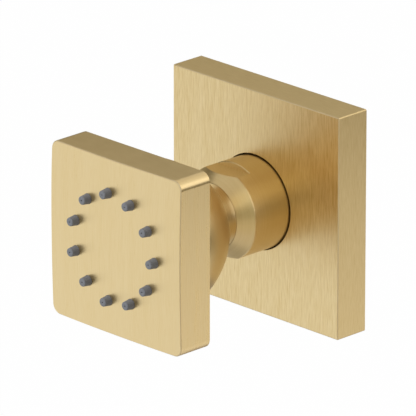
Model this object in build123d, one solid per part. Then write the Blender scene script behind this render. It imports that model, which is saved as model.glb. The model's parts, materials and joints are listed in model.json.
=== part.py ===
"""Swivelling shower body jet: wall plate, ball-jointed neck and square spray head.

Sizes are in millimetres. The wall is the plane Y = 0, the jet stands out of it towards -Y,
and +Z is up. A depth is a distance out from the wall, so a point at depth d has Y = -d.
"""

from build123d import *
from math import acos, asin, atan2, cos, radians, sin, sqrt
import os

# Wall plate, a hollow square cover
plate_side = 76.2
plate_depth = 12.7
plate_face = 2.4
plate_wall = 3.0
plate_rim_wall = 1.4
plate_inner_corner = 2.0
plate_hole_gap = 0.45
plate_hole_lead = 0.1
plate_boss_wall = 4.4
plate_boss_back = 3.8
visible_edge = 0.3

# Foam gasket and O-ring of the wall plate
gasket_depth = 1.8
gasket_width = 2.6
plate_ring_section = 2.0
plate_ring_depth = 7.2

# Collar, the round nut with two wrench flats that holds the ball
collar_diameter = 31.75
collar_back = 3.0
collar_front = 32.2
collar_bevel_start = 27.9
collar_wall = 2.475
socket_ledge = 1.12
mouth_lip = 0.98
mouth_land = 0.1
flat_cut_depth = 1.875
flats_back = 22.5
collar_edge = 0.2

# Inlet body with the half-inch female pipe thread
inlet_back = 0.0
inlet_bore_diameter = 18.6
inlet_lead = 0.5
inlet_web = 1.8
inlet_hex_key = 12.0
inlet_spring_ledge = 2.08
collar_seal_section = 1.4

# Filter in the bottom of the pipe socket
filter_ledge = 0.5
filter_washer_depth = 2.0
filter_washer_hole = 11.2
filter_washer_lip = 1.0
filter_screen_depth = 0.6
filter_hole_diameter = 1.3
filter_hole_pitch = 2.3
filter_hole_rings = 2

# Ball joint
ball_clearance = 0.1
ball_back_land = 1.3
tilt_limit = 15.0
tilt_margin = 1.5
ball_sweep_clearance = 0.6
seat_back_recess = 1.3
seat_front_offset = 4.0
seat_ring_section = 1.0
cone_spring_height = 0.8
cone_spring_sheet = 0.3
cone_spring_lap = 0.3

# Threaded stem of the ball and what it carries
stem_diameter = 14.0
stem_length = 12.0
stem_bore_diameter = 8.4
stem_bore_lead = 2.0
stem_ring_section = 1.4
stem_ring_offset = 2.6
stem_front_lead = 0.8
restrictor_diameter = 10.6
restrictor_depth = 3.2
restrictor_hole_diameter = 3.0
restrictor_jet_diameter = 1.2
restrictor_jet_circle = 5.6
restrictor_jet_count = 6
restrictor_ring_section = 1.0

# Spray head
head_back = 62.6
head_side = 59.6
head_corner_depth = 12.7
head_corner = 3.2
head_wall = 2.2
head_inner_corner = 1.0
face_thickness = 2.6
crown_radius = 716.0

# Rear cover of the head, a square plate and a bell turned in one piece
cover_plate = 2.5
bell_land = 0.4
bell_bulge = 4.0
bell_wall = 3.2
bell_chamber_diameter = 30.0
chamber_gap = 0.4

# Screws that hold the rear cover
screw_diameter = 2.5
screw_head_diameter = 5.0
screw_length = 8.0
screw_inset = 6.6
screw_slot_width = 0.6
screw_slot_depth = 0.5
boss_diameter = 6.0
boss_root = 0.2

# Nozzles and what lies behind them
nozzle_count = 11
nozzle_circle = 37.0
nozzle_root_diameter = 3.5
nozzle_tip_diameter = 2.7
nozzle_reach = 2.8
nozzle_orifice = 0.4
nozzle_tip_edge = 0.4
nozzle_hole_gap = 0.05
mat_thickness = 1.6
spray_plate_thickness = 2.0
spray_plate_rim = 2.9
spray_hole_diameter = 2.2
chamber_seal_thickness = 0.8

# Clearances
running_gap = 0.1
fitting_gap = 0.1
hole_gap = 0.15

# An O-ring's groove is this much longer than the ring's section, and a turned edge is broken by a lead
groove_share = 1.2
turned_lead = 0.6

# How far a cutting shape runs past the face that it leaves by
overshoot = 1.0

# From the collar's outside inwards: its thread, the socket, the ball, and the hollow behind the ball
collar_radius = collar_diameter / 2
thread_radius = collar_radius - collar_wall
socket_radius = thread_radius - socket_ledge
mouth_radius = socket_radius - mouth_lip
ball_radius = socket_radius - ball_clearance
inlet_hollow_radius = socket_radius - inlet_spring_ledge

stem_radius = stem_diameter / 2
head_half = head_side / 2
head_inner = head_half - head_wall
bell_base = head_inner - bell_land

# The ball's socket passes through the rim of the collar's mouth, which fixes its centre
rim_height = sqrt(socket_radius ** 2 - mouth_radius ** 2)
ball_centre = collar_front - mouth_land - rim_height
rim_angle = atan2(mouth_radius, rim_height + mouth_land)

# The bell starts where a full tilt still leaves the rim free
bell_angle = rim_angle - radians(tilt_limit + tilt_margin)
bell_back = ball_centre + ball_radius * cos(bell_angle)
bell_neck = ball_radius * sin(bell_angle)

# Behind the ball, each piece follows from the swing of the ball's rear edge
ball_back_radius = stem_bore_diameter / 2 + stem_bore_lead + ball_back_land
rear_edge_angle = asin(ball_back_radius / ball_radius)
ball_back = ball_centre - ball_radius * cos(rear_edge_angle)
hollow_back = ball_centre - ball_radius * cos(rear_edge_angle - radians(tilt_limit)) - ball_sweep_clearance
inlet_floor = hollow_back - inlet_web
seat_back = ball_back + seat_back_recess
seat_back_offset = ball_centre - seat_back
seat_front = ball_centre - seat_front_offset
seat_radius = ball_radius + running_gap
inlet_front = seat_back - cone_spring_height
collar_seal_depth = inlet_front - (groove_share + 1) / 2 * collar_seal_section
seat_ring_depth = seat_back + (groove_share + 1) / 2 * seat_ring_section
filter_back = inlet_floor - filter_washer_depth
filter_seat_radius = inlet_bore_diameter / 2 - filter_ledge
filter_washer_radius = filter_seat_radius - fitting_gap
filter_screen_radius = filter_washer_radius - filter_washer_lip

# Along the head
stem_front = bell_back + stem_length
restrictor_middle = stem_front - restrictor_depth / 2
cover_front = head_back + cover_plate
crown_front = head_back + head_corner_depth + crown_radius - sqrt(crown_radius ** 2 - 2 * head_half ** 2)
face_back = crown_front - face_thickness
mat_back = face_back - mat_thickness
spray_back = mat_back - spray_plate_thickness
seal_front = cover_front + chamber_seal_thickness
insert_radius = head_inner - fitting_gap
nozzle_face = crown_front - crown_radius + sqrt(crown_radius ** 2 - (nozzle_circle / 2) ** 2)
nozzle_front = nozzle_face + nozzle_reach
screw_place = head_half - screw_inset


def at_depth(depth):
    """Plane parallel to the wall at a depth, with its normal pointing out of the wall."""
    return Plane.XZ.offset(depth)


def turned(*lines):
    """Solid of revolution about the jet's axis, from lines drawn in (radius, -depth)."""
    return revolve(make_face(Curve() + list(lines)), Axis.Y)


def turned_polygon(*corners):
    """Solid of revolution whose section has the given (radius, depth) corners."""
    points = [(radius, -depth) for radius, depth in corners]
    return turned(Polyline(*points, close=True))


def tube(outer, inner, back, front):
    """Plain ring between two radii and two depths."""
    return turned_polygon((inner, back), (outer, back), (outer, front), (inner, front))


def rod(radius, back, front, x=0.0, z=0.0):
    """Round bar parallel to the axis."""
    bar = Cylinder(radius, front - back, align=(Align.CENTER, Align.CENTER, Align.MIN))
    return at_depth(back) * Pos(x, z) * bar


def bulging_arc(start, end, bulge):
    """Arc between two (radius, depth) points, standing outwards from its chord."""
    run = end[1] - start[1]
    rise = end[0] - start[0]
    chord = sqrt(run ** 2 + rise ** 2)
    middle_radius = (start[0] + end[0]) / 2 + bulge * run / chord
    middle_depth = (start[1] + end[1]) / 2 - bulge * rise / chord
    return ThreePointArc((start[0], -start[1]), (middle_radius, -middle_depth), (end[0], -end[1]))


def ball_point(angle, radius):
    """Point (radius, depth) on a sphere about the ball's centre, angle in radians from the front."""
    return radius * sin(angle), ball_centre + radius * cos(angle)


def sphere_arc(first_angle, last_angle, radius):
    """Arc of a sphere about the ball's centre, for a turned profile."""
    angles = (first_angle, (first_angle + last_angle) / 2, last_angle)
    points = [ball_point(angle, radius) for angle in angles]
    return ThreePointArc(*[(r, -d) for r, d in points])


def o_ring(inner_radius, section, depth):
    """Rubber ring lying in a plane parallel to the wall."""
    return at_depth(depth) * Torus(inner_radius + section / 2, section / 2)


def ring_groove(outer_radius, section, depth):
    """Groove for an O-ring in the outside of a round piece, centred on the ring's depth."""
    half = groove_share * section / 2
    return tube(outer_radius + overshoot, outer_radius - section, depth - half, depth + half)


def wall_plate():
    """Hollow square cover with a boss round its hole that holds the O-ring."""
    outer = extrude(at_depth(0) * Rectangle(plate_side, plate_side), plate_depth)
    rear_edges = outer.edges().group_by(Axis.Y)[-1]
    outer = chamfer(outer.edges() - rear_edges, visible_edge)
    pocket_side = plate_side - 2 * plate_wall
    pocket = extrude(
        at_depth(0) * RectangleRounded(pocket_side, pocket_side, plate_inner_corner),
        plate_depth - plate_face,
    )
    rim_side = plate_side - 2 * plate_rim_wall
    rim = extrude(at_depth(0) * Rectangle(rim_side, rim_side), gasket_depth)
    hole_radius = collar_radius + plate_hole_gap
    boss = rod(hole_radius + plate_boss_wall, plate_boss_back, plate_depth - plate_face / 2)
    groove_half = groove_share * plate_ring_section / 2
    groove = tube(
        collar_radius + plate_ring_section + running_gap,
        hole_radius - overshoot,
        plate_ring_depth - groove_half,
        plate_ring_depth + groove_half,
    )
    hole = rod(hole_radius, -overshoot, plate_depth + overshoot)
    lead = turned_polygon(
        (0, plate_depth - plate_hole_lead),
        (hole_radius, plate_depth - plate_hole_lead),
        (hole_radius + 2 * plate_hole_lead, plate_depth + plate_hole_lead),
        (0, plate_depth + plate_hole_lead),
    )
    return outer - pocket - rim + boss - groove - hole - lead


def plate_gasket():
    """Square foam strip that seals the plate's rim to the wall."""
    outer_side = plate_side - 2 * (plate_rim_wall + fitting_gap)
    inner_side = outer_side - 2 * gasket_width
    ring = Rectangle(outer_side, outer_side) - Rectangle(inner_side, inner_side)
    return extrude(at_depth(0) * ring, gasket_depth)


def plate_o_ring():
    """Ring that grips the collar, so that the plate stays where it is pushed."""
    return o_ring(collar_radius + running_gap / 2, plate_ring_section, plate_ring_depth)


def collar():
    """Round nut with a bevelled nose, two wrench flats and the ball's socket inside."""
    equator = (socket_radius, -ball_centre)
    rim = (mouth_radius, -(collar_front - mouth_land))
    step = inlet_front + fitting_gap
    socket = sphere_arc(radians(90), atan2(mouth_radius, rim_height), socket_radius)
    outline = Polyline(
        rim,
        (mouth_radius, -collar_front),
        (collar_radius, -collar_bevel_start),
        (collar_radius, -(collar_back + turned_lead)),
        (collar_radius - turned_lead, -collar_back),
        (thread_radius + turned_lead, -collar_back),
        (thread_radius, -(collar_back + turned_lead)),
        (thread_radius, -step),
        (socket_radius, -step),
        equator,
    )
    nut = turned(outline, socket)
    flat_cut = extrude(
        at_depth(flats_back)
        * Rectangle(collar_diameter, collar_radius, align=(Align.CENTER, Align.MIN)),
        collar_front - flats_back + overshoot,
    )
    top_cut = Pos(0, 0, collar_radius - flat_cut_depth) * flat_cut
    nut = nut - top_cut - mirror(top_cut, Plane.XY)
    sharp = [edge for edge in nut.edges() if collar_edge_is_broken(edge)]
    return chamfer(sharp, collar_edge)


def collar_edge_is_broken(edge):
    """Whether an edge lies on the collar's outside, at the bevel or at a flat's shoulder."""
    middle = edge @ 0.5
    from_axis = sqrt(middle.X ** 2 + middle.Z ** 2)
    at_bevel = abs(-middle.Y - collar_bevel_start) < collar_edge and from_axis > collar_radius - collar_edge
    at_shoulder = abs(-middle.Y - flats_back) < collar_edge and from_axis > collar_radius - collar_edge
    return at_bevel or at_shoulder


def inlet_body():
    """Brass adaptor: pipe socket behind, hexagon key hole, outer thread for the collar."""
    outer = thread_radius - fitting_gap
    bore = inlet_bore_diameter / 2
    body = turned_polygon(
        (bore, inlet_back),
        (outer - inlet_lead, inlet_back),
        (outer, inlet_back + inlet_lead),
        (outer, inlet_front),
        (inlet_hollow_radius, inlet_front),
        (inlet_hollow_radius, hollow_back),
        (0, hollow_back),
        (0, inlet_floor),
        (filter_seat_radius, inlet_floor),
        (filter_seat_radius, filter_back),
        (bore, filter_back),
    )
    key_hole = extrude(
        at_depth(inlet_floor - overshoot) * RegularPolygon(inlet_hex_key / 2, 6, major_radius=False),
        inlet_web + 2 * overshoot,
    )
    return body - key_hole - ring_groove(outer, collar_seal_section, collar_seal_depth)


def collar_seal():
    """O-ring between the inlet body and the collar."""
    return o_ring(thread_radius - fitting_gap - collar_seal_section, collar_seal_section, collar_seal_depth)


def filter_washer():
    """Rubber washer that the pipe presses on, recessed behind for the screen."""
    hole = filter_washer_hole / 2
    recess_radius = filter_screen_radius + fitting_gap
    recess = inlet_floor - filter_screen_depth
    return turned_polygon(
        (hole, filter_back),
        (filter_washer_radius, filter_back),
        (filter_washer_radius, inlet_floor),
        (recess_radius, inlet_floor),
        (recess_radius, recess),
        (hole, recess),
    )


def filter_screen():
    """Thin steel disc with rings of small holes."""
    disc = rod(filter_screen_radius, inlet_floor - filter_screen_depth, inlet_floor)
    hole = filter_hole_diameter / 2
    back, front = inlet_floor - filter_screen_depth - overshoot, inlet_floor + overshoot
    holes = [rod(hole, back, front)]
    for ring in range(1, filter_hole_rings + 1):
        for place in PolarLocations(ring * filter_hole_pitch, 6 * ring):
            holes.append(rod(hole, back, front, place.position.X, place.position.Y))
    return disc - holes


def cone_spring():
    """Dished spring washer that presses the seat against the ball."""
    outer = socket_radius - fitting_gap
    inner = inlet_hollow_radius - cone_spring_lap
    sheet = cone_spring_sheet
    return turned_polygon(
        (outer, inlet_front),
        (outer, inlet_front + sheet),
        (inner, seat_back),
        (inner, seat_back - sheet),
    )


def ball_seat():
    """Plastic ring with a spherical face that bears on the back of the ball."""
    outer = socket_radius - running_gap
    back_radius = sqrt(seat_radius ** 2 - seat_back_offset ** 2)
    front_radius = sqrt(seat_radius ** 2 - seat_front_offset ** 2)
    outline = Polyline(
        (back_radius, -seat_back),
        (outer, -seat_back),
        (outer, -seat_front),
        (front_radius, -seat_front),
    )
    back_angle = acos(-seat_back_offset / seat_radius)
    front_angle = acos(-seat_front_offset / seat_radius)
    seat = turned(outline, sphere_arc(front_angle, back_angle, seat_radius))
    return seat - ring_groove(outer, seat_ring_section, seat_ring_depth)


def seat_o_ring():
    """O-ring round the ball's seat."""
    return o_ring(socket_radius - running_gap - seat_ring_section, seat_ring_section, seat_ring_depth)


def ball_stem():
    """Ball with a flat back, a through bore and a threaded stem in front."""
    bore = stem_bore_diameter / 2
    lead = stem_bore_lead
    outline = Polyline(
        (bell_neck, -bell_back),
        (stem_radius, -bell_back),
        (stem_radius, -(stem_front - stem_front_lead)),
        (stem_radius - stem_front_lead, -stem_front),
        (bore, -stem_front),
        (bore, -(ball_back + lead)),
        (bore + lead, -ball_back),
        (ball_back_radius, -ball_back),
    )
    ball = sphere_arc(bell_angle, radians(180) - rear_edge_angle, ball_radius)
    stem = turned(outline, ball)
    groove = ring_groove(stem_radius, stem_ring_section, bell_back + stem_ring_offset)
    pocket = rod(restrictor_diameter / 2 + fitting_gap, stem_front - restrictor_depth, stem_front + overshoot)
    return stem - groove - pocket


def stem_o_ring():
    """O-ring between the stem and the rear cover."""
    return o_ring(stem_radius - stem_ring_section, stem_ring_section, bell_back + stem_ring_offset)


def flow_restrictor():
    """Plastic disc with a middle hole and a ring of fine jets."""
    radius = restrictor_diameter / 2
    disc = rod(radius, stem_front - restrictor_depth, stem_front)
    back, front = stem_front - restrictor_depth - overshoot, stem_front + overshoot
    disc -= rod(restrictor_hole_diameter / 2, back, front)
    for place in PolarLocations(restrictor_jet_circle / 2, restrictor_jet_count):
        disc -= rod(restrictor_jet_diameter / 2, back, front, place.position.X, place.position.Y)
    return disc - ring_groove(radius, restrictor_ring_section, restrictor_middle)


def restrictor_o_ring():
    """O-ring round the flow restrictor."""
    inner = restrictor_diameter / 2 - restrictor_ring_section
    return o_ring(inner, restrictor_ring_section, restrictor_middle)


def screw_places():
    """The four corners of the head where its screws stand, as (x, z)."""
    return [(x, z) for x in (-screw_place, screw_place) for z in (-screw_place, screw_place)]


def rear_cover():
    """Square back plate of the head with the bell that runs down to the ball."""
    neck = (bell_neck, bell_back)
    base = (bell_base, head_back)
    hub = stem_radius + running_gap / 2
    chamber_back = stem_front + chamber_gap
    chamber_front = bell_base - bell_wall
    section = Polyline(
        (base[0], -base[1]),
        (base[0], -cover_front),
        (chamber_front, -cover_front),
        (chamber_front, -head_back),
        (bell_chamber_diameter / 2, -chamber_back),
        (hub, -chamber_back),
        (hub, -bell_back),
        (neck[0], -neck[1]),
    )
    bell = turned(section, bulging_arc(neck, base, bell_bulge))
    plate_side_inner = 2 * (head_inner - fitting_gap)
    plate = extrude(
        at_depth(head_back) * RectangleRounded(plate_side_inner, plate_side_inner, head_inner_corner),
        cover_plate,
    )
    plate -= rod(chamber_front, head_back - overshoot, cover_front + overshoot)
    cover = bell + plate
    for x, z in screw_places():
        cover -= rod(screw_diameter / 2 + hole_gap, head_back - overshoot, cover_front + overshoot, x, z)
        cover -= countersink(x, z, fitting_gap)
    return cover


def countersink(x, z, gap):
    """Cone of a screw's head, sunk flush with the back of the head and opened by a gap."""
    head = screw_head_diameter / 2 + gap
    shank = screw_diameter / 2 + gap
    cone = Cone(head, shank, head - shank, align=(Align.CENTER, Align.CENTER, Align.MIN))
    return at_depth(head_back) * Pos(x, z) * cone


def cover_screws():
    """The four countersunk screws of the rear cover, as separate solids."""
    screws = []
    for x, z in screw_places():
        screw = countersink(x, z, 0.0) + rod(screw_diameter / 2, head_back, head_back + screw_length, x, z)
        slot = extrude(
            at_depth(head_back) * Pos(x, z) * Rectangle(2 * screw_head_diameter, screw_slot_width),
            screw_slot_depth,
        )
        screws.append(screw - slot)
    return Compound(children=screws)


def face_housing():
    """Square cup with a faintly crowned face, nozzle holes and four screw bosses."""
    outline = RectangleRounded(head_side, head_side, head_corner)
    cup = extrude(at_depth(head_back) * outline, 2 * head_corner_depth)
    cup &= Pos(0, crown_radius - crown_front, 0) * Sphere(crown_radius)
    front = cup.faces().sort_by(Axis.Y)[0]
    cup = chamfer(front.edges(), visible_edge)
    inside = 2 * head_inner
    cup -= extrude(
        at_depth(head_back) * RectangleRounded(inside, inside, head_inner_corner),
        face_back - head_back,
    )
    for x, z in screw_places():
        cup += rod(boss_diameter / 2, cover_front, face_back + boss_root, x, z)
        cup -= rod(screw_diameter / 2, cover_front - overshoot, head_back + screw_length + overshoot, x, z)
    for x, z in nozzle_places():
        cup -= rod(nozzle_root_diameter / 2 + nozzle_hole_gap, face_back - overshoot, nozzle_front, x, z)
    return cup


def nozzle_places():
    """Centres of the nozzles as (x, z), evenly spaced on their circle."""
    places = PolarLocations(nozzle_circle / 2, nozzle_count)
    return [(place.position.X, place.position.Y) for place in places]


def nozzle():
    """Solid nozzle on the jet's axis: straight in the face's hole, then tapered to a broken edge."""
    root = nozzle_root_diameter / 2
    tip = nozzle_tip_diameter / 2
    return turned_polygon(
        (0, mat_back),
        (root, mat_back),
        (root, nozzle_face),
        (tip, nozzle_front - nozzle_tip_edge),
        (tip - nozzle_tip_edge, nozzle_front),
        (0, nozzle_front),
    )


def nozzle_mat():
    """Silicone disc with a hollow tapered nozzle through each hole of the face."""
    mat = rod(insert_radius, mat_back, face_back)
    for x, z in nozzle_places():
        mat += Pos(x, 0, z) * nozzle()
    for x, z in nozzle_places():
        mat -= rod(nozzle_orifice / 2, mat_back - overshoot, nozzle_front + overshoot, x, z)
    return mat


def spray_plate():
    """Plastic cup that presses the mat on the face and closes the water chamber."""
    rim_inner = insert_radius - spray_plate_rim
    cup = turned_polygon(
        (0, spray_back),
        (rim_inner, spray_back),
        (rim_inner, seal_front),
        (insert_radius, seal_front),
        (insert_radius, mat_back),
        (0, mat_back),
    )
    for x, z in nozzle_places():
        cup -= rod(spray_hole_diameter / 2, spray_back - overshoot, mat_back + overshoot, x, z)
    return cup


def chamber_seal():
    """Flat rubber ring between the rear cover and the spray plate's rim."""
    return tube(insert_radius, insert_radius - spray_plate_rim, cover_front, seal_front)


pieces = {
    "wall_plate": wall_plate(),
    "plate_gasket": plate_gasket(),
    "plate_o_ring": plate_o_ring(),
    "inlet_body": inlet_body(),
    "collar": collar(),
    "collar_seal": collar_seal(),
    "filter_washer": filter_washer(),
    "filter_screen": filter_screen(),
    "cone_spring": cone_spring(),
    "ball_seat": ball_seat(),
    "seat_o_ring": seat_o_ring(),
    "ball_stem": ball_stem(),
    "stem_o_ring": stem_o_ring(),
    "flow_restrictor": flow_restrictor(),
    "restrictor_o_ring": restrictor_o_ring(),
    "rear_cover": rear_cover(),
    "cover_screws": cover_screws(),
    "face_housing": face_housing(),
    "nozzle_mat": nozzle_mat(),
    "spray_plate": spray_plate(),
    "chamber_seal": chamber_seal(),
}

os.makedirs("parts", exist_ok=True)
for name, solid in pieces.items():
    export_step(solid, f"parts/{name}.step")
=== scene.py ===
import json
from math import cos, pi, radians, sin, tan

import bpy
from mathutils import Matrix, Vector


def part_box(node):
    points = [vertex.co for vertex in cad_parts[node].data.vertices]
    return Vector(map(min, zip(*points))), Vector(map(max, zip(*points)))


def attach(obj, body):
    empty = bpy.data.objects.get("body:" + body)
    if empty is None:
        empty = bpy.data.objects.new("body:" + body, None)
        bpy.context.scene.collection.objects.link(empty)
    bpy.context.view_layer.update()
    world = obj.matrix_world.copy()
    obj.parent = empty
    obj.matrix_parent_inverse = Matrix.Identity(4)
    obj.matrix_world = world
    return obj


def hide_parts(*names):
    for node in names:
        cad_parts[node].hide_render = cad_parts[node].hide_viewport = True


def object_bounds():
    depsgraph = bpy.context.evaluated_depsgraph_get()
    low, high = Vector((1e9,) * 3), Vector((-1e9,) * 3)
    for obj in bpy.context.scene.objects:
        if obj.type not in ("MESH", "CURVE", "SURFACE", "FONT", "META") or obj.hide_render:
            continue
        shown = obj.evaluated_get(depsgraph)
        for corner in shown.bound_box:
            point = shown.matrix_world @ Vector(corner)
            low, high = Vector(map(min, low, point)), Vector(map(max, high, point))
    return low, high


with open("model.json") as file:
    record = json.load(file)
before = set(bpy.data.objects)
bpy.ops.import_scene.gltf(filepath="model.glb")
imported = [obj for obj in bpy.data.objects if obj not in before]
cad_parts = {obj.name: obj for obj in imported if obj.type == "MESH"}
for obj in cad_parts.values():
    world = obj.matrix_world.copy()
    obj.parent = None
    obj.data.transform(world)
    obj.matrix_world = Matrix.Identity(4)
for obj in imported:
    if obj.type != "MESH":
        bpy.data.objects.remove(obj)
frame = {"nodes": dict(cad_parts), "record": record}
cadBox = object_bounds()
millimetre = 0.001


def linearColour(hexText):  # sRGB hex to the linear values that nodes take
    channels = [int(hexText[i:i + 2], 16) / 255 for i in (1, 3, 5)]
    linear = [c / 12.92 if c <= 0.04045 else ((c + 0.055) / 1.055) ** 2.4 for c in channels]
    return linear + [1.0]


def addNode(tree, kind, inputs=None, **settings):  # one node with its settings, values and links
    node = tree.nodes.new(kind)
    for key, value in settings.items():
        setattr(node, key, value)
    for key, value in (inputs or {}).items():
        if isinstance(value, bpy.types.NodeSocket):
            tree.links.new(value, node.inputs[key])
        else:
            node.inputs[key].default_value = value
    return node


def newMaterial(name):
    material = bpy.data.materials.new(name)
    material.use_nodes = True
    material.node_tree.nodes.clear()
    return material, material.node_tree


def endMaterial(tree, shader):
    addNode(tree, "ShaderNodeOutputMaterial", {"Surface": shader.outputs[0]})


def colourRamp(tree, factor, stops):  # stops are (place, hex colour)
    ramp = addNode(tree, "ShaderNodeValToRGB", {"Fac": factor})
    elements = ramp.color_ramp.elements
    while len(elements) < len(stops):
        elements.new(0.5)
    for element, (place, hexText) in zip(elements, stops):
        element.position = place
        element.color = linearColour(hexText)
    return ramp


# Brushed gold: brass with a gold vapour coat, drawn over an abrasive belt from top to bottom,
# which leaves fine upright streaks and a sheen that is spread sideways
brushedGold = {
    # edge: a paler gold that paints a highlight along the broken front edges
    "pale": "#EAD3A2", "middle": "#E6CD9A", "deep": "#E1C791", "edge": "#EEDFBE",
    "contrast": (0.32, 0.68),  # streak values that get the deep and the pale colour
    "grainWidth": 0.22,  # mm; real grit is near 0.08 mm, drawn as coarse as the picture can show
    "grainLength": 7.0,
    "hazeWidth": 3.5, "hazeLength": 60.0,  # mm; the belt's uneven pressure
    "hazeShare": 0.3,
    "sideStreaks": 1.6, "topStreaks": 0.6,  # how strongly streaks show there; the front has 1
    "frontSlope": (0.5, 0.9), "topSlope": (0.6, 0.8),  # how far a face must turn there to count
    "edgeSlope": (0.7, 0.25),  # the turn of a broken front edge, and how far from it still counts
    "roughness": (0.27, 0.36), "roughContrast": (0.3, 0.7), "edgeRoughness": 0.6,
    "anisotropy": 0.5,
    "grooveDepth": 0.004, "grooveStrength": 0.35,
    "beltAxis": (0.0, 0.02, 1.0),  # leans a little, so that the top has a direction too
}

# The wall plate went over a coarser belt: its streaks show more and spread a reflection further
coarseGold = dict(
    brushedGold, pale="#F3DDAE", middle="#E7CF9B", deep="#DABE87",
    grainWidth=0.34, grainLength=5.0, hazeShare=0.12, sideStreaks=0.6, topStreaks=0.4,
    roughness=(0.32, 0.44), grooveDepth=0.005)


def makeBrushedGold(name, settings):
    material, tree = newMaterial(name)
    place = addNode(tree, "ShaderNodeTexCoord")
    grainScale = 1 / (settings["grainWidth"] * millimetre)
    lengthScale = 1 / (settings["grainLength"] * millimetre)
    upright = addNode(tree, "ShaderNodeVectorMath", {
        0: place.outputs["Object"], 1: (grainScale, grainScale, lengthScale)},
        operation="MULTIPLY")
    across = addNode(tree, "ShaderNodeVectorMath", {
        0: place.outputs["Object"], 1: (lengthScale, grainScale, grainScale)},
        operation="MULTIPLY")
    # The belt runs up and down on the front and sides, and along the edge on the top and bottom
    facing = addNode(tree, "ShaderNodeSeparateXYZ", {0: place.outputs["Normal"]})
    upwards = addNode(tree, "ShaderNodeMath", {0: facing.outputs["Z"]}, operation="ABSOLUTE")
    onTop = addNode(tree, "ShaderNodeMapRange", {
        "Value": upwards.outputs[0],
        "From Min": settings["topSlope"][0], "From Max": settings["topSlope"][1]})
    route = addNode(tree, "ShaderNodeMix", {
        "Factor": onTop.outputs[0], "A": upright.outputs[0], "B": across.outputs[0]},
        data_type="VECTOR")
    grain = addNode(tree, "ShaderNodeTexNoise", {
        "Vector": route.outputs["Result"], "Scale": 1.0, "Detail": 3.0, "Roughness": 0.6})
    hazeScale = 1 / (settings["hazeWidth"] * millimetre)
    hazeSize = (hazeScale, hazeScale, 1 / (settings["hazeLength"] * millimetre))
    hazePlace = addNode(tree, "ShaderNodeVectorMath", {
        0: place.outputs["Object"], 1: hazeSize}, operation="MULTIPLY")
    haze = addNode(tree, "ShaderNodeTexNoise", {
        "Vector": hazePlace.outputs[0], "Scale": 1.0, "Detail": 1.0})
    blend = addNode(tree, "ShaderNodeMix", {
        "Factor": settings["hazeShare"], "A": grain.outputs["Fac"], "B": haze.outputs["Fac"]},
        data_type="FLOAT")
    # Streaks show at full strength on the front and at their own strength on the sides and top
    forwards = addNode(tree, "ShaderNodeMath", {0: facing.outputs["Y"]}, operation="ABSOLUTE")
    offFront = addNode(tree, "ShaderNodeMapRange", {
        "Value": onTop.outputs[0],
        "To Min": settings["sideStreaks"], "To Max": settings["topStreaks"]})
    share = addNode(tree, "ShaderNodeMapRange", {
        "Value": forwards.outputs[0],
        "From Min": settings["frontSlope"][0], "From Max": settings["frontSlope"][1],
        "To Min": offFront.outputs[0], "To Max": 1.0})
    streaks = addNode(tree, "ShaderNodeMix", {
        "Factor": share.outputs[0], "A": 0.5, "B": blend.outputs["Result"]},
        data_type="FLOAT", clamp_factor=False)
    low, high = settings["contrast"]
    colour = colourRamp(tree, streaks.outputs["Result"], (
        (low, settings["deep"]), (0.5, settings["middle"]), (high, settings["pale"])))
    rough = addNode(tree, "ShaderNodeMapRange", {
        "Value": streaks.outputs["Result"],
        "From Min": settings["roughContrast"][0], "From Max": settings["roughContrast"][1],
        "To Min": settings["roughness"][0], "To Max": settings["roughness"][1]})
    # The front edges are broken by hand after the belt, so they are duller than the faces; their
    # paler colour is a painted highlight along the edges
    edgeMiddle, edgeRange = settings["edgeSlope"]
    oblique = addNode(tree, "ShaderNodeMath", {
        0: forwards.outputs[0], 1: edgeMiddle, 2: edgeRange}, operation="COMPARE")
    worn = addNode(tree, "ShaderNodeMix", {
        "Factor": oblique.outputs[0], "A": rough.outputs[0], "B": settings["edgeRoughness"]},
        data_type="FLOAT")
    # painted highlight: the diagonal edge faces take the paler edge colour
    edgeHighlight = addNode(tree, "ShaderNodeMix", {
        "Factor": oblique.outputs[0], "A": colour.outputs["Color"],
        "B": linearColour(settings["edge"])}, data_type="RGBA")
    grooves = addNode(tree, "ShaderNodeBump", {
        "Height": grain.outputs["Fac"], "Strength": settings["grooveStrength"],
        "Distance": settings["grooveDepth"] * millimetre})
    # The grooves spread a reflection sideways, square to the belt's run
    sideways = addNode(tree, "ShaderNodeVectorMath", {
        0: settings["beltAxis"], 1: place.outputs["Normal"]}, operation="CROSS_PRODUCT")
    tangent = addNode(tree, "ShaderNodeVectorTransform", {0: sideways.outputs[0]},
                      vector_type="VECTOR", convert_from="OBJECT", convert_to="WORLD")
    shader = addNode(tree, "ShaderNodeBsdfPrincipled", {
        "Base Color": edgeHighlight.outputs["Result"], "Metallic": 1.0,
        "Roughness": worn.outputs["Result"], "Anisotropic": settings["anisotropy"],
        "Tangent": tangent.outputs[0], "Normal": grooves.outputs[0]})
    endMaterial(tree, shader)
    return material


# What all turned metal here shares: faint rings about the jet's axis
latheMarks = {"contrast": (0.35, 0.65), "roughContrast": (0.3, 0.7), "strength": 0.3}

# Turned gold: the same coat on lathe work, with rings too fine to feel
turnedGold = {
    "pale": "#E2CA98", "deep": "#DEC592",
    "ringWidth": 0.3,  # mm; a real feed mark is near 0.05 mm, drawn coarser so that it shows
    "roughness": (0.31, 0.35),
    "ringDepth": 0.0008,
}

# Raw brass: bare turned bar, deeper yellow than the coat, with a dull bloom
rawBrass = {
    "pale": "#D9B66A", "deep": "#C49C4E",
    "ringWidth": 0.35,
    "roughness": (0.24, 0.36),
    "ringDepth": 0.006,
}

# Stainless steel: rolled sheet and turned screws, neutral grey with a fine satin
stainlessSteel = {
    "pale": "#C9C8C4", "deep": "#AFAEAA",
    "ringWidth": 0.25,
    "roughness": (0.26, 0.4),
    "ringDepth": 0.003,
}


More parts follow.
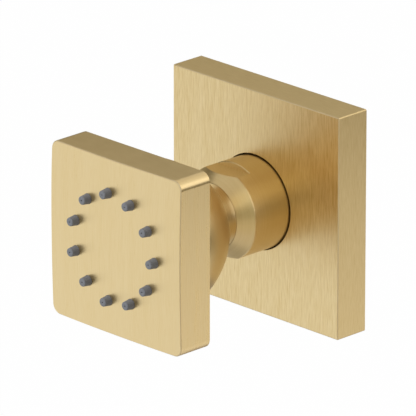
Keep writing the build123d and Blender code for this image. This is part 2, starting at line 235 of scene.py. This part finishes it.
def makeTurnedMetal(name, settings):
    material, tree = newMaterial(name)
    place = addNode(tree, "ShaderNodeTexCoord")
    split = addNode(tree, "ShaderNodeSeparateXYZ", {0: place.outputs["Object"]})
    aside = addNode(tree, "ShaderNodeCombineXYZ", {
        "X": split.outputs["X"], "Z": split.outputs["Z"]})
    radius = addNode(tree, "ShaderNodeVectorMath", {0: aside.outputs[0]}, operation="LENGTH")
    ringScale = 1 / (settings["ringWidth"] * millimetre)
    rings = addNode(tree, "ShaderNodeCombineXYZ", {
        "X": radius.outputs["Value"], "Y": split.outputs["Y"]})
    ringPlace = addNode(tree, "ShaderNodeVectorMath", {
        0: rings.outputs[0], 1: (ringScale, ringScale, 0)}, operation="MULTIPLY")
    marks = addNode(tree, "ShaderNodeTexNoise", {
        "Vector": ringPlace.outputs[0], "Scale": 1.0, "Detail": 2.0}, noise_dimensions="2D")
    low, high = latheMarks["contrast"]
    colour = colourRamp(tree, marks.outputs["Fac"], (
        (low, settings["deep"]), (high, settings["pale"])))
    rough = addNode(tree, "ShaderNodeMapRange", {
        "Value": marks.outputs["Fac"],
        "From Min": latheMarks["roughContrast"][0], "From Max": latheMarks["roughContrast"][1],
        "To Min": settings["roughness"][0], "To Max": settings["roughness"][1]})
    feed = addNode(tree, "ShaderNodeBump", {
        "Height": marks.outputs["Fac"], "Strength": latheMarks["strength"],
        "Distance": settings["ringDepth"] * millimetre})
    shader = addNode(tree, "ShaderNodeBsdfPrincipled", {
        "Base Color": colour.outputs["Color"], "Metallic": 1.0, "Roughness": rough.outputs[0],
        "Normal": feed.outputs[0]})
    endMaterial(tree, shader)
    return material


# Moulded rubber, foam and plastic: one colour with a faint cloud, and the fine grain of the mould
mouldGrain = {"contrast": (0.3, 0.7), "strength": 0.4}
mouldings = {  # grain and depth in mm
    "blackRubber": {
        "pale": "#2B2B2D", "deep": "#1F1F21", "grain": 0.25, "depth": 0.01,
        "roughness": 0.62, "ior": 1.52},
    "closedCellFoam": {
        "pale": "#3C3C3E", "deep": "#2A2A2C", "grain": 0.5, "depth": 0.12,
        "roughness": 0.9, "ior": 1.45},
    "greySilicone": {
        "pale": "#7B7E84", "deep": "#686A70", "grain": 0.3, "depth": 0.006,
        "roughness": 0.5, "ior": 1.41},
    "whiteAcetal": {
        "pale": "#ECEAE4", "deep": "#DFDCD4", "grain": 0.8, "depth": 0.004,
        "roughness": 0.38, "ior": 1.48},
}


def makeMoulding(name):
    settings = mouldings[name]
    material, tree = newMaterial(name)
    place = addNode(tree, "ShaderNodeTexCoord")
    grain = addNode(tree, "ShaderNodeTexNoise", {
        "Vector": place.outputs["Object"], "Scale": 1 / (settings["grain"] * millimetre),
        "Detail": 2.0})
    low, high = mouldGrain["contrast"]
    colour = colourRamp(tree, grain.outputs["Fac"], (
        (low, settings["deep"]), (high, settings["pale"])))
    bump = addNode(tree, "ShaderNodeBump", {
        "Height": grain.outputs["Fac"], "Strength": mouldGrain["strength"],
        "Distance": settings["depth"] * millimetre})
    shader = addNode(tree, "ShaderNodeBsdfPrincipled", {
        "Base Color": colour.outputs["Color"], "Roughness": settings["roughness"],
        "IOR": settings["ior"], "Normal": bump.outputs[0]})
    endMaterial(tree, shader)
    return material


finishes = {
    "brushed_brass": makeBrushedGold("brushedVapourGold", brushedGold),
    "turned_brass": makeTurnedMetal("turnedVapourGold", turnedGold),
    "raw_brass": makeTurnedMetal("rawTurnedBrass", rawBrass),
    "black_rubber": makeMoulding("blackRubber"),
    "foam": makeMoulding("closedCellFoam"),
    "grey_silicone": makeMoulding("greySilicone"),
    "white_plastic": makeMoulding("whiteAcetal"),
    "stainless_steel": makeTurnedMetal("satinStainlessSteel", stainlessSteel),
}

for part in frame["record"]["subparts"]:
    mesh = frame["nodes"][part["node"]].data
    mesh.materials.clear()
    mesh.materials.append(finishes[part["material_slot"]])
wallPlate = frame["nodes"]["wall_plate"].data
wallPlate.materials[0] = makeBrushedGold("coarseBrushedVapourGold", coarseGold)
print("finishes given to every piece")


def newTree(name, inputs):  # a tree with a geometry and named sizes going in
    tree = bpy.data.node_groups.new(name, "GeometryNodeTree")
    tree.interface.new_socket("Geometry", in_out="INPUT", socket_type="NodeSocketGeometry")
    for label, value in inputs.items():
        kind = "NodeSocketInt" if isinstance(value, int) else "NodeSocketFloat"
        tree.interface.new_socket(label, in_out="INPUT", socket_type=kind)
    tree.interface.new_socket("Geometry", in_out="OUTPUT", socket_type="NodeSocketGeometry")
    return tree, addNode(tree, "NodeGroupInput")


def endTree(tree, geometry, material):
    whole = addNode(tree, "GeometryNodeRealizeInstances", {"Geometry": geometry})
    finished = addNode(tree, "GeometryNodeSetMaterial", {
        "Geometry": whole.outputs[0], "Material": material})
    addNode(tree, "NodeGroupOutput", {0: finished.outputs[0]})


# A mesh turned about the jet's axis; a row is (radius, or its rule by angle, and depth)
def latheMesh(name, rows, segments, closed):
    points, faces = [], []
    for radius, depth in rows:
        for step in range(segments):
            angle = 2 * pi * step / segments
            reach = radius(angle) if callable(radius) else radius
            points.append((reach * cos(angle), -depth, reach * sin(angle)))
    count = len(rows) if closed else len(rows) - 1
    for row in range(count):
        following = (row + 1) % len(rows)
        for step in range(segments):
            after = (step + 1) % segments
            faces.append((row * segments + step, row * segments + after,
                          following * segments + after, following * segments + step))
    if not closed:
        faces.append(tuple(reversed(range(segments))))
        faces.append(tuple(range((len(rows) - 1) * segments, len(rows) * segments)))
    mesh = bpy.data.meshes.new(name)
    mesh.from_pydata(points, [], faces)
    return mesh


sharpAngle = radians(34)  # steeper edges stay sharp


def bakePiece(name, mesh, tree, inputs, body, node):
    piece = bpy.data.objects.new(name, mesh)
    bpy.context.scene.collection.objects.link(piece)
    modifier = piece.modifiers.new(tree.name, "NODES")
    modifier.node_group = tree
    for item in tree.interface.items_tree:
        if item.in_out == "INPUT" and item.name in inputs:
            modifier[item.identifier] = inputs[item.name]
    graph = bpy.context.evaluated_depsgraph_get()
    solid = bpy.data.meshes.new_from_object(piece.evaluated_get(graph), depsgraph=graph)
    piece.modifiers.remove(modifier)
    piece.data = solid
    solid.polygons.foreach_set("use_smooth", [True] * len(solid.polygons))
    solid.set_sharp_from_angle(angle=sharpAngle)
    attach(piece, body)
    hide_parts(node)
    print(name, len(solid.polygons), "faces")


# Nozzle mat: one silicone disc behind the face, with round-lipped nozzles through its holes
nozzles = {
    "count": 11, "circle": 37.0,
    "root": 3.5, "tip": 2.9, "reach": 2.8, "segments": 40,  # one nozzle, in mm
    "lip": 0.3, "lipSteps": 6,
    "orifice": 0.4, "funnel": 0.12, "boreDepth": 1.2,  # the water's way out
    "matThickness": 1.6, "matSegments": 96, "sunk": 0.5,
}


# Section of one nozzle from its root inside the mat to the bottom of its bore
def nozzleRows(settings, front, root):
    lip, orifice, funnel = settings["lip"], settings["orifice"] / 2, settings["funnel"]
    rootRadius, tipRadius = settings["root"] / 2, settings["tip"] / 2
    rows = [(rootRadius, root), (rootRadius, front - settings["reach"])]
    for step in range(settings["lipSteps"] + 1):
        turn = pi / 2 * step / settings["lipSteps"]
        rows.append((tipRadius - lip + lip * cos(turn), front - lip + lip * sin(turn)))
    rows += [(orifice + funnel, front), (orifice, front - funnel),
             (orifice, front - settings["boreDepth"])]
    return [(radius * millimetre, depth * millimetre) for radius, depth in rows]


def makeNozzleMat(settings):
    low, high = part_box("nozzle_mat")
    back, front = -high.y / millimetre, -low.y / millimetre
    matFront = back + settings["matThickness"]
    rows = nozzleRows(settings, front, matFront - settings["sunk"])
    nozzle = bpy.data.objects.new("nozzleShape", latheMesh(
        "nozzleShape", rows, settings["segments"], False))
    disc = latheMesh("nozzleMat", [(high.x, back * millimetre), (high.x, matFront * millimetre)],
                     settings["matSegments"], False)
    inputs = {"Count": settings["count"], "Circle Radius": settings["circle"] / 2 * millimetre}
    tree, sizes = newTree("nozzleCircle", inputs)
    circle = addNode(tree, "GeometryNodeMeshCircle", {
        "Vertices": sizes.outputs["Count"], "Radius": sizes.outputs["Circle Radius"]})
    upright = addNode(tree, "GeometryNodeTransform", {
        "Geometry": circle.outputs[0], "Rotation": (pi / 2, 0, 0)})
    shape = addNode(tree, "GeometryNodeObjectInfo", {"Object": nozzle})
    repeated = addNode(tree, "GeometryNodeInstanceOnPoints", {
        "Points": upright.outputs[0], "Instance": shape.outputs["Geometry"]})
    joined = addNode(tree, "GeometryNodeJoinGeometry")
    tree.links.new(sizes.outputs["Geometry"], joined.inputs[0])
    tree.links.new(repeated.outputs[0], joined.inputs[0])
    endTree(tree, joined.outputs[0], finishes["grey_silicone"])
    bakePiece("nozzleMat", disc, tree, inputs, "spray_head", "nozzle_mat")
    bpy.data.objects.remove(nozzle)


makeNozzleMat(nozzles)


# Inlet body: turned brass adaptor with a half-inch pipe thread cut in its bore
inlet = {  # mm
    "bore": 18.6, "mouth": 21.9, "lead": 0.5,
    "pitch": 1.814, "threadDepth": 1.16, "flank": (0.12, 0.88),  # flank as a share of half a pitch
    "runOut": (2.24, 0.84),  # how far before its seat the thread begins to fade and is gone
    "filterLedge": 0.5, "web": 1.8, "hexKey": 12.0, "hollow": 20.4,
    "grooveSection": 1.4, "grooveShare": 1.2,
    "boreMargin": 0.1, "seatMargin": 0.01,  # what lies within these counts as the threaded bore
    "segments": 96, "rowsPerTurn": 14,
}


def inletRows(settings):
    washerLow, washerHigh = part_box("filter_washer")
    low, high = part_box("inlet_body")
    seat, floor = -washerHigh.y / millimetre, -washerLow.y / millimetre
    front, outer = -low.y / millimetre, high.x / millimetre
    bore, hollow, lead = settings["bore"] / 2, settings["hollow"] / 2, settings["lead"]
    ledge, web = bore - settings["filterLedge"], floor + settings["web"]
    section, share = settings["grooveSection"], settings["grooveShare"]
    grooveMiddle = front - (share + 1) / 2 * section
    grooveBack, grooveFront = grooveMiddle - share * section / 2, grooveMiddle + share * section / 2
    rowCount = round(seat / settings["pitch"] * settings["rowsPerTurn"])

    def hexagon(angle):
        return settings["hexKey"] / 2 / cos(angle % (pi / 3) - pi / 6) * millimetre

    rows = [(bore, seat * (rowCount - row) / rowCount) for row in range(rowCount + 1)]
    rows += [(outer - lead, 0), (outer, lead), (outer, grooveBack), (outer - section, grooveBack),
             (outer - section, grooveFront), (outer, grooveFront), (outer, front),
             (hollow, front), (hollow, web)]
    rows = [(radius * millimetre, depth * millimetre) for radius, depth in rows]
    rows += [(hexagon, web * millimetre), (hexagon, floor * millimetre)]
    rows += [(ledge * millimetre, floor * millimetre), (ledge * millimetre, seat * millimetre)]
    return rows, seat


def makeInletBody(settings):
    rows, seat = inletRows(settings)
    body = latheMesh("inletBody", rows, settings["segments"], True)
    fadeStart, fadeEnd = (seat - length for length in settings["runOut"])
    lengths = {
        "Pitch": settings["pitch"], "Thread Depth": settings["threadDepth"],
        "Bore Radius": settings["bore"] / 2, "Mouth Radius": settings["mouth"] / 2,
        "Fade Start": fadeStart, "Fade End": fadeEnd,
        "Bore Limit": settings["bore"] / 2 + settings["boreMargin"],
        "Seat Limit": seat - settings["seatMargin"],
    }
    inputs = {label: length * millimetre for label, length in lengths.items()}
    tree, sizes = newTree("pipeThread", inputs)
    size = sizes.outputs

    def math(operation, first, second=0.0):
        node = addNode(tree, "ShaderNodeMath", {0: first, 1: second}, operation=operation)
        return node.outputs[0]

    place = addNode(tree, "GeometryNodeInputPosition")
    split = addNode(tree, "ShaderNodeSeparateXYZ", {0: place.outputs[0]})
    flat = addNode(tree, "ShaderNodeVectorMath", {0: place.outputs[0], 1: (1, 0, 1)},
                   operation="MULTIPLY")
    radius = addNode(tree, "ShaderNodeVectorMath", {0: flat.outputs[0]},
                     operation="LENGTH").outputs["Value"]
    depth = math("MULTIPLY", split.outputs["Y"], -1.0)
    turn = math("DIVIDE", math("ARCTAN2", split.outputs["Z"], split.outputs["X"]), 2 * pi)
    phase = math("SUBTRACT", math("DIVIDE", depth, size["Pitch"]), turn)
    wave = math("PINGPONG", math("MULTIPLY", phase, 2.0), 1.0)
    flanks = addNode(tree, "ShaderNodeMapRange", {
        "Value": wave, "From Min": settings["flank"][0], "From Max": settings["flank"][1]})
    fade = addNode(tree, "ShaderNodeMapRange", {
        "Value": depth, "From Min": size["Fade Start"], "From Max": size["Fade End"],
        "To Min": 1.0, "To Max": 0.0})
    faded = math("MULTIPLY", flanks.outputs[0], fade.outputs[0])
    threaded = math("ADD", size["Bore Radius"], math("MULTIPLY", faded, size["Thread Depth"]))
    newRadius = math("MAXIMUM", threaded, math("SUBTRACT", size["Mouth Radius"], depth))
    share = math("DIVIDE", newRadius, radius)
    moved = addNode(tree, "ShaderNodeCombineXYZ", {
        "X": math("MULTIPLY", split.outputs["X"], share), "Y": split.outputs["Y"],
        "Z": math("MULTIPLY", split.outputs["Z"], share)})
    inBore = math("LESS_THAN", radius, size["Bore Limit"])
    behindSeat = math("LESS_THAN", depth, size["Seat Limit"])
    cutThread = addNode(tree, "GeometryNodeSetPosition", {
        "Geometry": size["Geometry"], "Selection": math("MULTIPLY", inBore, behindSeat),
        "Position": moved.outputs[0]})
    endTree(tree, cutThread.outputs[0], finishes["raw_brass"])
    bakePiece("inletBody", body, tree, inputs, "fitting", "inlet_body")


makeInletBody(inlet)
print("nozzles and pipe thread made")


# Camera at the picture's angle; the lens follows from how large a metre is in the picture
camera = {
    "azimuth": 45.472, "elevation": 19.908, "distance": 2.3,
    "aimDepth": 0.038, "aimRight": 0.002764, "aimUp": 0.004199,
    "pixelsPerMetre": 3092.5, "imageWidth": 416, "sensor": 36.0,
}


def makeCamera(settings):
    azimuth, elevation = radians(settings["azimuth"]), radians(settings["elevation"])
    distance, sensor = settings["distance"], settings["sensor"]
    right = Vector((cos(azimuth), sin(azimuth), 0))
    back = Vector((sin(azimuth) * cos(elevation), -cos(azimuth) * cos(elevation), sin(elevation)))
    aim = Vector((0, -settings["aimDepth"], settings["aimUp"])) + right * settings["aimRight"]
    data = bpy.data.cameras.new("camera")
    data.sensor_width = sensor
    data.lens = sensor * distance * settings["pixelsPerMetre"] / settings["imageWidth"]
    viewer = bpy.data.objects.new("camera", data)
    viewer.location = aim + back * distance
    viewer.rotation_mode = "QUATERNION"
    viewer.rotation_quaternion = (-back).to_track_quat("-Z", "Y")
    bpy.context.scene.collection.objects.link(viewer)
    bpy.context.scene.camera = viewer


makeCamera(camera)


# Studio: white surround and floor, a soft lamp, and grey and gold cards only reflections see
studio = {
    "surround": "#FFFFFF", "fill": 0.62,
    "floorDrop": 0.7, "floorSize": 14.0, "floorColour": "#F7F7F5", "floorShowsWhite": 0.985,
    "lampPlace": (-0.5, -0.9, 1.1), "lampSize": 0.7, "lampPower": 14.0,
    "centre": Vector((0, -0.038, 0)), "cardDistance": 0.62,
}
# Painted reflection and shade: the gold-coloured cards stand in for the gold parts' reflections of
# one another, and the darkest cards, the dark strips near the horizon on the right and the one
# upper left, paint shade into the reflections
cards = {  # azimuth from the front, elevation, width and height in degrees; colour and strength
    "frontCard": (-52, -22, 60, 36, "#F7FBFF", 1.04),
    "frontLowCard": (10, -52, 100, 40, "#E0DEDA", 1.0),
    "frontMiddleLowCard": (2, -22, 40, 28, "#C2B8A0", 1.0),
    "frontMiddleCard": (9, 6, 26, 18, "#968870", 1.0),
    "frontRightLowCard": (40, -23, 34, 26, "#DCD7C4", 1.0),
    "frontLeftCard": (-38, 16, 56, 40, "#DDD9D0", 1.0),
    "leftCard": (-82, 4, 30, 60, "#A29B86", 1.0),
    "leftUpperCard": (-80, 27, 26, 30, "#6A6658", 1.0),
    "frontTopCard": (-15, 50, 80, 32, "#DAD8D0", 1.0),
    "backLeftCard": (-140, 13, 86, 42, "#8C8672", 1.0),
    "backLeftHighCard": (-145, 54, 96, 38, "#EBE8DF", 1.0),
    "backLeftLowCard": (-135, -19, 90, 24, "#D3CEC2", 1.0),
    "backLeftFootCard": (-145, -46, 104, 30, "#94897A", 1.0),
    "backRightLowCard": (134, -31, 66, 32, "#F6F5F1", 1.0),
    "backRightSkirting": (138, -6, 84, 19, "#6E6652", 1.0),
    "backFootCard": (169, -14, 36, 46, "#A9A086", 1.0),
    "backRightSoftbox": (132, 25, 74, 27, "#FFFDF8", 1.36),
    "backRightHighCard": (140, 54, 90, 34, "#F6F3EA", 1.0),
    "rightSoftbox": (90, 36, 20, 52, "#FFFDF8", 1.3),
    "rightSkirting": (88, 3, 22, 12, "#6A604C", 1.0),
    "rightLowCard": (90, -30, 24, 52, "#B3955C", 1.0),
    "goldUpperCard": (66, 32, 30, 34, "#A28142", 1.0),
    "goldCrestCard": (58, 56, 44, 18, "#B09258", 1.0),
    "goldMiddleCard": (68, 3, 22, 26, "#6A522A", 1.0),
    "goldLowerCard": (68, -43, 22, 64, "#A88C54", 1.0),
    "cameraSideCard": (42, 3, 30, 26, "#B0AE98", 1.0),
    "cameraSideSoftbox": (38, 30, 26, 24, "#FBFFF4", 1.15),
    "topCard": (0, 88, 56, 56, "#A5834A", 1.0),
    "lowCard": (0, -84, 60, 40, "#AAA8A2", 1.0),
}


# 1 where the eye, a reflection or a clear part looks, 0 for the light that falls on the object
def whiteToEye(tree):
    ray = addNode(tree, "ShaderNodeLightPath")
    seen = addNode(tree, "ShaderNodeMath", {
        0: ray.outputs["Is Camera Ray"], 1: ray.outputs["Is Glossy Ray"]}, operation="ADD")
    return addNode(tree, "ShaderNodeMath", {
        0: seen.outputs[0], 1: ray.outputs["Is Transmission Ray"]},
        operation="ADD", use_clamp=True)


def makeWorld(settings):
    world = bpy.data.worlds.new("surround")
    bpy.context.scene.world = world
    world.use_nodes = True
    tree = world.node_tree
    tree.nodes.clear()
    strength = addNode(tree, "ShaderNodeMapRange", {
        "Value": whiteToEye(tree).outputs[0], "To Min": settings["fill"], "To Max": 1.0})
    light = addNode(tree, "ShaderNodeBackground", {
        "Color": linearColour(settings["surround"]), "Strength": strength.outputs[0]})
    addNode(tree, "ShaderNodeOutputWorld", {"Surface": light.outputs[0]})


def flatPiece(name, corners, material):
    mesh = bpy.data.meshes.new(name)
    mesh.from_pydata(corners, [], [range(len(corners))])
    mesh.materials.append(material)
    piece = bpy.data.objects.new(name, mesh)
    bpy.context.scene.collection.objects.link(piece)
    return piece


def makeFloor(settings):
    material, tree = newMaterial("palePaperFloor")
    paper = addNode(tree, "ShaderNodeBsdfDiffuse", {
        "Color": linearColour(settings["floorColour"])})
    white = addNode(tree, "ShaderNodeEmission", {"Color": linearColour(settings["surround"])})
    share = addNode(tree, "ShaderNodeMath", {
        0: whiteToEye(tree).outputs[0], 1: settings["floorShowsWhite"]}, operation="MULTIPLY")
    endMaterial(tree, addNode(tree, "ShaderNodeMixShader", {
        0: share.outputs[0], 1: paper.outputs[0], 2: white.outputs[0]}))
    height = cadBox[0].z - settings["floorDrop"]
    half = settings["floorSize"] / 2
    corners = ((-half, -half), (half, -half), (half, half), (-half, half))
    flatPiece("floor", [(x, y, height) for x, y in corners], material)


def makeCard(settings, name, azimuth, elevation, width, height, hexText, strength):
    material, tree = newMaterial(name)
    endMaterial(tree, addNode(tree, "ShaderNodeEmission", {
        "Color": linearColour(hexText), "Strength": strength}))
    turn, rise = radians(azimuth), radians(elevation)
    outwards = Vector((sin(turn) * cos(rise), -cos(turn) * cos(rise), sin(rise)))
    along = Vector((cos(turn), sin(turn), 0)) * tan(radians(width / 2))
    upwards = outwards.cross(along).normalized() * tan(radians(height / 2))
    corners = [settings["centre"] + (outwards + along * x + upwards * y) * settings["cardDistance"]
               for x, y in ((-1, -1), (1, -1), (1, 1), (-1, 1))]
    card = flatPiece(name, corners, material)
    card.visible_camera = card.visible_diffuse = card.visible_shadow = False
    card.visible_transmission = card.visible_volume_scatter = False


def makeLamp(settings):
    data = bpy.data.lights.new("softLamp", "AREA")
    data.shape = "DISK"
    data.size = settings["lampSize"]
    data.energy = settings["lampPower"]
    lamp = bpy.data.objects.new("softLamp", data)
    place = Vector(settings["lampPlace"])
    lamp.location = place
    lamp.rotation_mode = "QUATERNION"
    lamp.rotation_quaternion = (settings["centre"] - place).to_track_quat("-Z", "Y")
    lamp.visible_glossy = False
    bpy.context.scene.collection.objects.link(lamp)


makeWorld(studio)
makeFloor(studio)
makeLamp(studio)
for name, values in cards.items():
    makeCard(studio, name, *values)
bpy.context.scene.view_settings.view_transform = "Standard"
print("studio lit")
